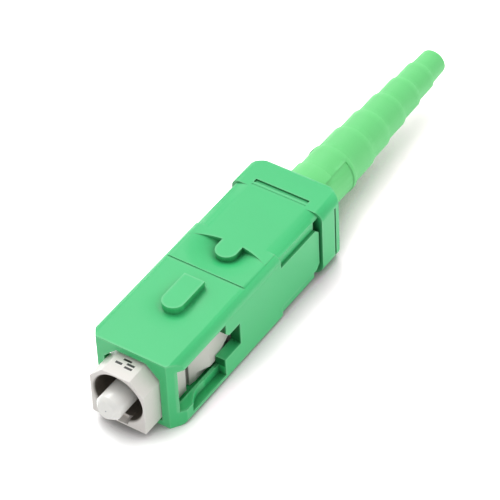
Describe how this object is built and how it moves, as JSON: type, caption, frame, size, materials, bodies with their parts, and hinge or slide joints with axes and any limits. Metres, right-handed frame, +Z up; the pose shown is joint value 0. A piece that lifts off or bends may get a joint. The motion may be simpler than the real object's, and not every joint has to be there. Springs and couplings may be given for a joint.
{
  "type": "sc fibre connector",
  "caption": "Push-pull fibre plug: grip housing with a key and side windows, octagonal plug frame, sprung white ferrule with an angled end and a long stepped strain-relief boot.",
  "frame": {"origin": "point on the optical axis in the plane of the outer housing's front face, inside the ferrule", "axes": "+Y rearwards along the optical axis to the boot's tip, +Z up to the key, X across the plug; the ferrule faces -Y"},
  "size_m": [0.0094, 0.053, 0.0081],
  "materials": {
    "housing_green": "moulded, satin",
    "frame_grey": "moulded, satin",
    "ferrule_white": null,
    "inner_plastic": "moulded, natural",
    "fibre_glass": "clear",
    "cam_plastic": "moulded, dark",
    "spring_steel": "drawn wire",
    "crimp_brass": "turned",
    "crimp_aluminium": "turned",
    "boot_green": "moulded soft plastic, satin"
  },
  "bodies": {
    "frame_body": {"plug_frame": "frame_grey", "boot": "boot_green", "spring_retainer": "inner_plastic", "lead_in_tube": "inner_plastic", "crimp_tube": "crimp_brass", "crimp_ring": "crimp_aluminium", "spring": "spring_steel"},
    "grip_body": {"outer_housing": "housing_green"},
    "ferrule_body": {"ferrule": "ferrule_white", "ferrule_holder": "inner_plastic", "fibre_stub": "fibre_glass", "splice_half_upper": "inner_plastic", "splice_half_lower": "inner_plastic"},
    "cam_body": {"cam_ring": "cam_plastic"}
  },
  "joints": [
    {"name": "grip_slide", "type": "slide", "parent": "frame_body", "child": "grip_body", "axis": [0, 1, 0], "range_m": [0, 0.002]},
    {"name": "ferrule_float", "type": "slide", "parent": "frame_body", "child": "ferrule_body", "axis": [0, 1, 0], "range_m": [0, 0.001], "stiffness_N_per_m": 2000, "deforming": ["spring"]},
    {"name": "cam_turn", "type": "hinge", "parent": "ferrule_body", "child": "cam_body", "pos_m": [0, 0.01105, 0], "axis": [0, 1, 0], "range_deg": [0, 90]}
  ]
}
